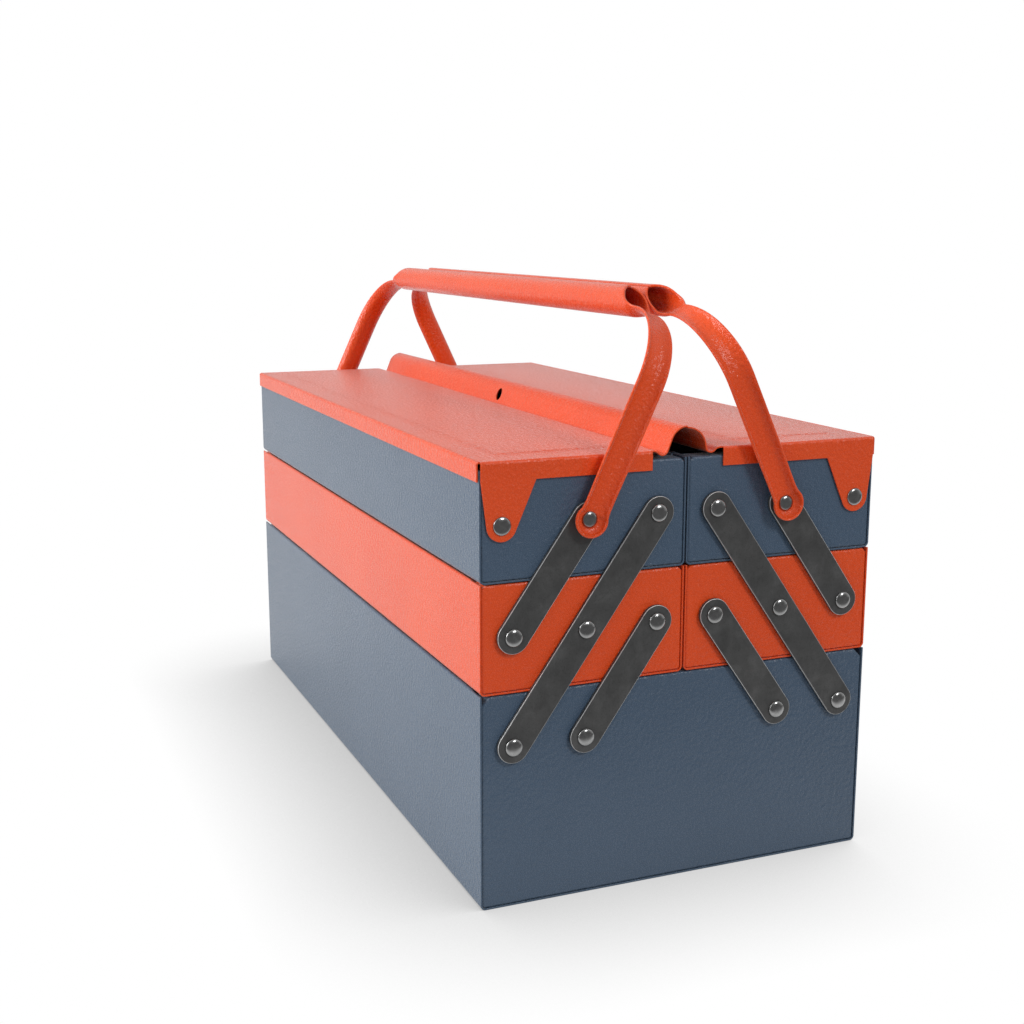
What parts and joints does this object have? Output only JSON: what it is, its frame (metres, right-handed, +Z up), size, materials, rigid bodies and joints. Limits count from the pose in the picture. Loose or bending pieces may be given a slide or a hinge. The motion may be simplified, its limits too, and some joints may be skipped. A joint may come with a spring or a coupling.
{
  "type": "cantilever toolbox",
  "caption": "Folded steel toolbox whose stacked trays open out on riveted links, under two hinged lids with a padlock ridge and two swinging grip handles.",
  "frame": {"origin": "middle of the base's underside", "axes": "+X along the box's length towards its right end, +Y from the front long side to the rear one, +Z up"},
  "size_m": [0.426, 0.2022, 0.2745],
  "materials": {
    "orange_paint": "satin orange-red powder coat with a fine texture",
    "blue_paint": "satin blue-grey powder coat with a fine texture",
    "link_steel": "dark grey phosphated steel strip",
    "rivet_steel": "plain zinc-plated steel, domed heads"
  },
  "bodies": {
    "base": {"base_shell": "blue_paint", "base_left_end": "blue_paint", "base_right_end": "blue_paint", "base_link_rivets": "rivet_steel"},
    "front_middle_tray": {"front_middle_tray_shell": "orange_paint", "front_middle_tray_left_end": "orange_paint", "front_middle_tray_right_end": "orange_paint", "front_middle_tray_link_rivets": "rivet_steel"},
    "front_upper_tray": {"front_upper_tray_shell": "blue_paint", "front_upper_tray_left_end": "blue_paint", "front_upper_tray_right_end": "blue_paint", "front_upper_tray_link_rivets": "rivet_steel", "front_handle_rivets": "rivet_steel", "front_lid_rivets": "rivet_steel"},
    "front_lid": {"front_lid": "orange_paint"},
    "front_handle": {"front_handle": "orange_paint", "front_handle_left_arm": "orange_paint", "front_handle_right_arm": "orange_paint"},
    "front_left_long_link": {"front_left_long_link": "link_steel"},
    "front_left_lower_link": {"front_left_lower_link": "link_steel"},
    "front_left_upper_link": {"front_left_upper_link": "link_steel"},
    "front_right_long_link": {"front_right_long_link": "link_steel"},
    "front_right_lower_link": {"front_right_lower_link": "link_steel"},
    "front_right_upper_link": {"front_right_upper_link": "link_steel"},
    "rear_middle_tray": {"rear_middle_tray_shell": "orange_paint", "rear_middle_tray_left_end": "orange_paint", "rear_middle_tray_right_end": "orange_paint", "rear_middle_tray_link_rivets": "rivet_steel"},
    "rear_upper_tray": {"rear_upper_tray_shell": "blue_paint", "rear_upper_tray_left_end": "blue_paint", "rear_upper_tray_right_end": "blue_paint", "rear_upper_tray_link_rivets": "rivet_steel", "rear_handle_rivets": "rivet_steel", "rear_lid_rivets": "rivet_steel"},
    "rear_lid": {"rear_lid": "orange_paint"},
    "rear_handle": {"rear_handle": "orange_paint", "rear_handle_left_arm": "orange_paint", "rear_handle_right_arm": "orange_paint"},
    "rear_left_long_link": {"rear_left_long_link": "link_steel"},
    "rear_left_lower_link": {"rear_left_lower_link": "link_steel"},
    "rear_left_upper_link": {"rear_left_upper_link": "link_steel"},
    "rear_right_long_link": {"rear_right_long_link": "link_steel"},
    "rear_right_lower_link": {"rear_right_lower_link": "link_steel"},
    "rear_right_upper_link": {"rear_right_upper_link": "link_steel"}
  },
  "joints": [
    {"name": "front_cantilever", "type": "hinge", "parent": "base", "child": "front_right_long_link", "pos_m": [0.2073, -0.085, 0.076], "axis": [1, 0, 0], "range_deg": [0, 70]},
    {"name": "front_left_long_link_turn", "type": "hinge", "parent": "base", "child": "front_left_long_link", "pos_m": [-0.2073, -0.085, 0.076], "axis": [1, 0, 0], "range_deg": [0, 70]},
    {"name": "front_left_lower_link_turn", "type": "hinge", "parent": "base", "child": "front_left_lower_link", "pos_m": [-0.2073, -0.05, 0.076], "axis": [1, 0, 0], "range_deg": [0, 70]},
    {"name": "front_right_lower_link_turn", "type": "hinge", "parent": "base", "child": "front_right_lower_link", "pos_m": [0.2073, -0.05, 0.076], "axis": [1, 0, 0], "range_deg": [0, 70]},
    {"name": "front_middle_tray_turn", "type": "hinge", "parent": "front_right_long_link", "child": "front_middle_tray", "pos_m": [0.2073, -0.05, 0.126], "axis": [1, 0, 0], "range_deg": [-70, 0]},
    {"name": "front_upper_tray_turn", "type": "hinge", "parent": "front_right_long_link", "child": "front_upper_tray", "pos_m": [0.2073, -0.015, 0.176], "axis": [1, 0, 0], "range_deg": [-70, 0]},
    {"name": "front_left_upper_link_turn", "type": "hinge", "parent": "front_middle_tray", "child": "front_left_upper_link", "pos_m": [-0.2073, -0.085, 0.126], "axis": [1, 0, 0], "range_deg": [0, 70]},
    {"name": "front_right_upper_link_turn", "type": "hinge", "parent": "front_middle_tray", "child": "front_right_upper_link", "pos_m": [0.2073, -0.085, 0.126], "axis": [1, 0, 0], "range_deg": [0, 70]},
    {"name": "front_lid_hinge", "type": "hinge", "parent": "front_upper_tray", "child": "front_lid", "pos_m": [0, -0.09, 0.1756], "axis": [1, 0, 0], "range_deg": [0, 120]},
    {"name": "front_handle_swing", "type": "hinge", "parent": "front_upper_tray", "child": "front_handle", "pos_m": [0, -0.05, 0.176], "axis": [1, 0, 0], "range_deg": [0, 155]},
    {"name": "rear_cantilever", "type": "hinge", "parent": "base", "child": "rear_right_long_link", "pos_m": [0.2073, 0.085, 0.076], "axis": [-1, 0, 0], "range_deg": [0, 70]},
    {"name": "rear_left_long_link_turn", "type": "hinge", "parent": "base", "child": "rear_left_long_link", "pos_m": [-0.2073, 0.085, 0.076], "axis": [-1, 0, 0], "range_deg": [0, 70]},
    {"name": "rear_left_lower_link_turn", "type": "hinge", "parent": "base", "child": "rear_left_lower_link", "pos_m": [-0.2073, 0.05, 0.076], "axis": [-1, 0, 0], "range_deg": [0, 70]},
    {"name": "rear_right_lower_link_turn", "type": "hinge", "parent": "base", "child": "rear_right_lower_link", "pos_m": [0.2073, 0.05, 0.076], "axis": [-1, 0, 0], "range_deg": [0, 70]},
    {"name": "rear_middle_tray_turn", "type": "hinge", "parent": "rear_right_long_link", "child": "rear_middle_tray", "pos_m": [0.2073, 0.05, 0.126], "axis": [-1, 0, 0], "range_deg": [-70, 0]},
    {"name": "rear_upper_tray_turn", "type": "hinge", "parent": "rear_right_long_link", "child": "rear_upper_tray", "pos_m": [0.2073, 0.015, 0.176], "axis": [-1, 0, 0], "range_deg": [-70, 0]},
    {"name": "rear_left_upper_link_turn", "type": "hinge", "parent": "rear_middle_tray", "child": "rear_left_upper_link", "pos_m": [-0.2073, 0.085, 0.126], "axis": [-1, 0, 0], "range_deg": [0, 70]},
    {"name": "rear_right_upper_link_turn", "type": "hinge", "parent": "rear_middle_tray", "child": "rear_right_upper_link", "pos_m": [0.2073, 0.085, 0.126], "axis": [-1, 0, 0], "range_deg": [0, 70]},
    {"name": "rear_lid_hinge", "type": "hinge", "parent": "rear_upper_tray", "child": "rear_lid", "pos_m": [0, 0.09, 0.1756], "axis": [-1, 0, 0], "range_deg": [0, 120]},
    {"name": "rear_handle_swing", "type": "hinge", "parent": "rear_upper_tray", "child": "rear_handle", "pos_m": [0, 0.05, 0.176], "axis": [-1, 0, 0], "range_deg": [0, 155]}
  ],
  "couplings": [
    {"joint": "front_left_long_link_turn", "follows": "front_cantilever", "ratio": 1},
    {"joint": "front_left_lower_link_turn", "follows": "front_cantilever", "ratio": 1},
    {"joint": "front_right_lower_link_turn", "follows": "front_cantilever", "ratio": 1},
    {"joint": "front_middle_tray_turn", "follows": "front_cantilever", "ratio": -1},
    {"joint": "front_upper_tray_turn", "follows": "front_cantilever", "ratio": -1},
    {"joint": "front_left_upper_link_turn", "follows": "front_cantilever", "ratio": 1},
    {"joint": "front_right_upper_link_turn", "follows": "front_cantilever", "ratio": 1},
    {"joint": "rear_left_long_link_turn", "follows": "rear_cantilever", "ratio": 1},
    {"joint": "rear_left_lower_link_turn", "follows": "rear_cantilever", "ratio": 1},
    {"joint": "rear_right_lower_link_turn", "follows": "rear_cantilever", "ratio": 1},
    {"joint": "rear_middle_tray_turn", "follows": "rear_cantilever", "ratio": -1},
    {"joint": "rear_upper_tray_turn", "follows": "rear_cantilever", "ratio": -1},
    {"joint": "rear_left_upper_link_turn", "follows": "rear_cantilever", "ratio": 1},
    {"joint": "rear_right_upper_link_turn", "follows": "rear_cantilever", "ratio": 1}
  ]
}
